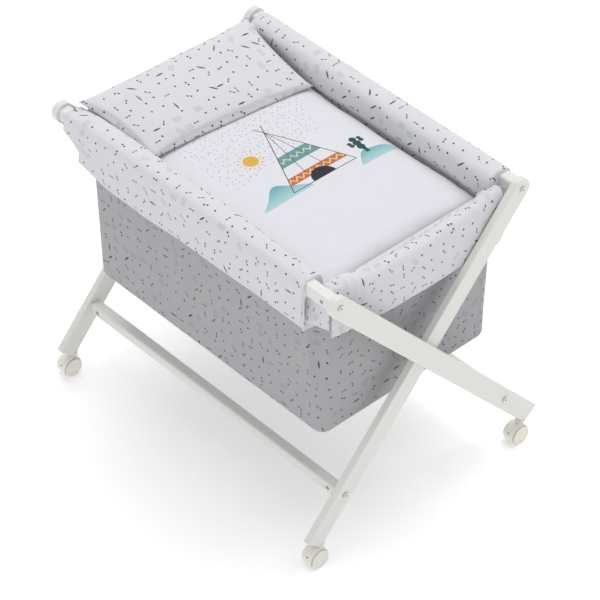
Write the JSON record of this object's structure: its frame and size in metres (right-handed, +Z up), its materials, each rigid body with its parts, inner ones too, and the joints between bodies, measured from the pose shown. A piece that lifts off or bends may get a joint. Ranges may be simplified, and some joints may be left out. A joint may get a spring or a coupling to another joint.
{
  "type": "folding bassinet",
  "caption": "Bassinet with a fabric basket hung between two crossed wooden frames that fold like scissors, on swivel casters.",
  "frame": {"origin": "on the floor, under the middle of the open bassinet's bounding box", "axes": "+X runs from the head (pillow) end to the foot end, the front long side is at -Y, +Z is up"},
  "size_m": [0.869, 0.6426, 0.7387],
  "materials": {
    "painted_wood": "white-stained beech with a satin varnish and a faint grain",
    "zinc": "bright zinc-plated steel",
    "socket_plastic": "off-white moulded plastic",
    "caster_plastic": "cream moulded plastic, slightly glossy",
    "wheel": "cream hard plastic tread",
    "catch_plastic": "cream moulded plastic",
    "basket_fabric": "light grey cotton with a small scattered print",
    "bumper_fabric": "padded white cotton with a small scattered print",
    "board": "raw plywood",
    "mattress_cover": "plain off-white cotton",
    "quilt_fabric": "padded white cotton with a landscape print",
    "pillow_fabric": "padded white cotton with a small scattered print"
  },
  "bodies": {
    "outer_frame": {"base_board": "board", "basket_shell": "basket_fabric", "foot_bumper": "bumper_fabric", "front_bumper": "bumper_fabric", "head_bumper": "bumper_fabric", "inner_lining": "bumper_fabric", "mattress": "mattress_cover", "mattress_sling": "basket_fabric", "outer_barrel_nuts": "zinc", "outer_frame_bolts": "zinc", "outer_leg_foot": "painted_wood", "outer_leg_head": "painted_wood", "pillow": "pillow_fabric", "pivot_bolts": "zinc", "pivot_inserts": "zinc", "pivot_washers": "zinc", "quilt": "quilt_fabric", "rail_front": "painted_wood", "stretcher_back": "painted_wood", "caster_foot_back_socket": "socket_plastic", "caster_head_back_socket": "socket_plastic"},
    "inner_frame": {"inner_barrel_nuts": "zinc", "inner_frame_bolts": "zinc", "inner_leg_foot": "painted_wood", "inner_leg_head": "painted_wood", "rail_back": "painted_wood", "stretcher_front": "painted_wood", "side_catch": "catch_plastic", "caster_foot_front_socket": "socket_plastic", "caster_head_front_socket": "socket_plastic"},
    "back_band": {"back_bumper": "bumper_fabric"},
    "caster_foot_back_fork": {"caster_foot_back_hood": "caster_plastic", "caster_foot_back_stem": "zinc"},
    "caster_foot_back_wheels": {"caster_foot_back_axle": "zinc", "caster_foot_back_wheel_head_side": "wheel", "caster_foot_back_wheel_foot_side": "wheel"},
    "caster_head_back_fork": {"caster_head_back_hood": "caster_plastic", "caster_head_back_stem": "zinc"},
    "caster_head_back_wheels": {"caster_head_back_axle": "zinc", "caster_head_back_wheel_head_side": "wheel", "caster_head_back_wheel_foot_side": "wheel"},
    "caster_foot_front_fork": {"caster_foot_front_hood": "caster_plastic", "caster_foot_front_stem": "zinc"},
    "caster_foot_front_wheels": {"caster_foot_front_axle": "zinc", "caster_foot_front_wheel_head_side": "wheel", "caster_foot_front_wheel_foot_side": "wheel"},
    "caster_head_front_fork": {"caster_head_front_hood": "caster_plastic", "caster_head_front_stem": "zinc"},
    "caster_head_front_wheels": {"caster_head_front_axle": "zinc", "caster_head_front_wheel_head_side": "wheel", "caster_head_front_wheel_foot_side": "wheel"}
  },
  "joints": [
    {"name": "scissor_fold", "type": "hinge", "parent": "outer_frame", "child": "inner_frame", "pos_m": [0, 0, 0.40106], "axis": [1, 0, 0], "range_deg": [0, 64], "deforming": ["basket_shell", "inner_lining", "head_bumper", "foot_bumper", "mattress_sling", "base_board", "mattress", "quilt", "pillow"]},
    {"name": "back_band_turn", "type": "hinge", "parent": "inner_frame", "child": "back_band", "pos_m": [0, 0.258, 0.69], "axis": [1, 0, 0], "range_deg": [-64, 0], "deforming": ["back_bumper"]},
    {"name": "caster_foot_back_swivel", "type": "hinge", "parent": "outer_frame", "child": "caster_foot_back_fork", "pos_m": [0.4165, 0.284, 0.054], "axis": [0, 0, 1], "continuous": true},
    {"name": "caster_foot_back_roll", "type": "hinge", "parent": "caster_foot_back_fork", "child": "caster_foot_back_wheels", "pos_m": [0.4165, 0.272, 0.022], "axis": [1, 0, 0], "continuous": true},
    {"name": "caster_head_back_swivel", "type": "hinge", "parent": "outer_frame", "child": "caster_head_back_fork", "pos_m": [-0.4165, 0.284, 0.054], "axis": [0, 0, 1], "continuous": true},
    {"name": "caster_head_back_roll", "type": "hinge", "parent": "caster_head_back_fork", "child": "caster_head_back_wheels", "pos_m": [-0.4165, 0.272, 0.022], "axis": [1, 0, 0], "continuous": true},
    {"name": "caster_foot_front_swivel", "type": "hinge", "parent": "inner_frame", "child": "caster_foot_front_fork", "pos_m": [0.3975, -0.284, 0.054], "axis": [0, 0, 1], "continuous": true},
    {"name": "caster_foot_front_roll", "type": "hinge", "parent": "caster_foot_front_fork", "child": "caster_foot_front_wheels", "pos_m": [0.3975, -0.296, 0.022], "axis": [1, 0, 0], "continuous": true},
    {"name": "caster_head_front_swivel", "type": "hinge", "parent": "inner_frame", "child": "caster_head_front_fork", "pos_m": [-0.3975, -0.284, 0.054], "axis": [0, 0, 1], "continuous": true},
    {"name": "caster_head_front_roll", "type": "hinge", "parent": "caster_head_front_fork", "child": "caster_head_front_wheels", "pos_m": [-0.3975, -0.296, 0.022], "axis": [1, 0, 0], "continuous": true}
  ],
  "couplings": [
    {"joint": "back_band_turn", "follows": "scissor_fold", "ratio": -1}
  ]
}
